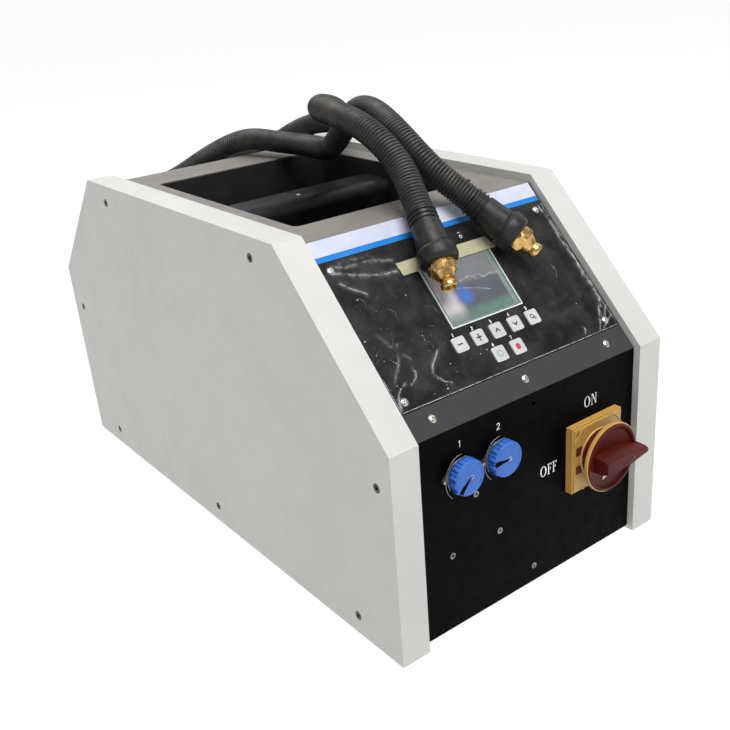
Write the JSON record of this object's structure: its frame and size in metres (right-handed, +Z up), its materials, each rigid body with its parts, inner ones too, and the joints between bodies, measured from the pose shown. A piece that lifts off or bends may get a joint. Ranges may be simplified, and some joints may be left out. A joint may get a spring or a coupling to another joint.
{
  "type": "induction heating machine",
  "caption": "Bench-top induction heating machine: sloped keypad cabinet, rotary main switch, capped ports, carry well and ribbed hose leads that end in brass nipples.",
  "frame": {"origin": "on the floor under the middle of the cabinet, between the switch grip and the output glands", "axes": "+Z up, +Y from the control face to the rear, +X to the right as seen from the front"},
  "size_m": [0.3, 0.7858, 0.4025],
  "materials": {
    "cheek_paint": "light grey powder coat",
    "black_paint": "black powder coat",
    "cover_paint": "dark textured powder coat",
    "zinc_sheet": "zinc plated sheet",
    "overlay_film": "dark printed film",
    "header_film": "white printed film with a blue line",
    "display_glass": "grey display glass",
    "clear_film": "clear protective film",
    "paper_tape": "pale masking tape",
    "key_plastic": "light grey keys",
    "board": "green circuit board",
    "yellow_plastic": "yellow moulded plastic",
    "red_plastic": "dark red moulded plastic",
    "bright_steel": "bright steel",
    "dark_steel": "dark steel",
    "dark_plastic": "dark moulded plastic",
    "socket_plastic": "blue moulded plastic",
    "cold_aluminium": "machined aluminium",
    "module_plastic": "pale moulded plastic",
    "capacitor_can": "blue sleeved cans",
    "ferrite": "dark ferrite core and winding",
    "hose_rubber": "black rubber",
    "brass": "turned brass"
  },
  "bodies": {
    "root": {"chassis": "zinc_sheet", "left_cheek": "cheek_paint", "right_cheek": "cheek_paint", "front_panel": "black_paint", "control_panel": "black_paint", "top_cover": "cover_paint", "carry_well": "cover_paint", "carry_bar": "cover_paint", "rear_panel": "black_paint", "rubber_feet": "hose_rubber", "panel_overlay": "overlay_film", "header_strip": "header_film", "display_bezel": "header_film", "display_glass": "display_glass", "protective_film": "clear_film", "film_tape": "paper_tape", "control_board": "board", "switch_plate": "yellow_plastic", "switch_body": "dark_plastic", "port_1_socket": "dark_plastic", "port_2_socket": "dark_plastic", "cap_lanyards": "bright_steel", "cheek_screws_left": "dark_steel", "cheek_screws_right": "dark_steel", "panel_screws": "bright_steel", "front_screws": "dark_steel", "port_screws": "bright_steel", "foot_screws": "dark_steel", "rear_screws": "dark_steel", "cold_plate": "cold_aluminium", "power_modules": "module_plastic", "capacitor_bank": "capacitor_can", "output_transformer": "ferrite", "main_board": "board", "contactor": "dark_plastic", "fan_frame": "dark_plastic", "fan_guard": "zinc_sheet", "mains_gland": "dark_plastic", "output_glands": "dark_plastic", "water_tails": "brass", "hose_a": "hose_rubber", "hose_b": "hose_rubber", "boot_a": "hose_rubber", "boot_b": "hose_rubber", "nipple_a": "brass", "nipple_b": "brass"},
    "switch_knob": {"switch_knob": "red_plastic", "switch_shaft": "bright_steel"},
    "port_1_cap": {"port_1_cap": "socket_plastic"},
    "port_2_cap": {"port_2_cap": "socket_plastic"},
    "fan_rotor": {"fan_rotor": "dark_plastic"},
    "brass_nut_a": {"brass_nut_a": "brass"},
    "brass_nut_b": {"brass_nut_b": "brass"},
    "key_minus": {"key_minus": "key_plastic"},
    "key_plus": {"key_plus": "key_plastic"},
    "key_up": {"key_up": "key_plastic"},
    "key_down": {"key_down": "key_plastic"},
    "key_set": {"key_set": "key_plastic"},
    "key_start": {"key_start": "key_plastic"},
    "key_stop": {"key_stop": "key_plastic"}
  },
  "joints": [
    {"name": "switch_turn", "type": "hinge", "parent": "root", "child": "switch_knob", "pos_m": [0.0685, -0.304, 0.1155], "axis": [0, 1, 0], "range_deg": [0, 90]},
    {"name": "key_minus_press", "type": "slide", "parent": "root", "child": "key_minus", "axis": [0, 0.7181, -0.696], "range_m": [0, 0.0008], "stiffness_N_per_m": 1200},
    {"name": "key_plus_press", "type": "slide", "parent": "root", "child": "key_plus", "axis": [0, 0.7181, -0.696], "range_m": [0, 0.0008], "stiffness_N_per_m": 1200},
    {"name": "key_up_press", "type": "slide", "parent": "root", "child": "key_up", "axis": [0, 0.7181, -0.696], "range_m": [0, 0.0008], "stiffness_N_per_m": 1200},
    {"name": "key_down_press", "type": "slide", "parent": "root", "child": "key_down", "axis": [0, 0.7181, -0.696], "range_m": [0, 0.0008], "stiffness_N_per_m": 1200},
    {"name": "key_set_press", "type": "slide", "parent": "root", "child": "key_set", "axis": [0, 0.7181, -0.696], "range_m": [0, 0.0008], "stiffness_N_per_m": 1200},
    {"name": "key_start_press", "type": "slide", "parent": "root", "child": "key_start", "axis": [0, 0.7181, -0.696], "range_m": [0, 0.0008], "stiffness_N_per_m": 1200},
    {"name": "key_stop_press", "type": "slide", "parent": "root", "child": "key_stop", "axis": [0, 0.7181, -0.696], "range_m": [0, 0.0008], "stiffness_N_per_m": 1200},
    {"name": "port_1_cap_twist", "type": "hinge", "parent": "root", "child": "port_1_cap", "pos_m": [-0.079, -0.29, 0.151], "axis": [0, -1, 0], "range_deg": [0, 90]},
    {"name": "port_2_cap_twist", "type": "hinge", "parent": "root", "child": "port_2_cap", "pos_m": [-0.039, -0.29, 0.151], "axis": [0, -1, 0], "range_deg": [0, 90]},
    {"name": "fan_spin", "type": "hinge", "parent": "root", "child": "fan_rotor", "pos_m": [0, 0.263, 0.132], "axis": [0, 1, 0], "continuous": true},
    {"name": "nut_a_swivel", "type": "hinge", "parent": "root", "child": "brass_nut_a", "pos_m": [0.05602, -0.21439, 0.29061], "axis": [0.4603, -0.6277, -0.6277], "continuous": true},
    {"name": "nut_b_swivel", "type": "hinge", "parent": "root", "child": "brass_nut_b", "pos_m": [-0.03118, -0.21662, 0.28839], "axis": [-0.2036, -0.6923, -0.6923], "continuous": true}
  ]
}
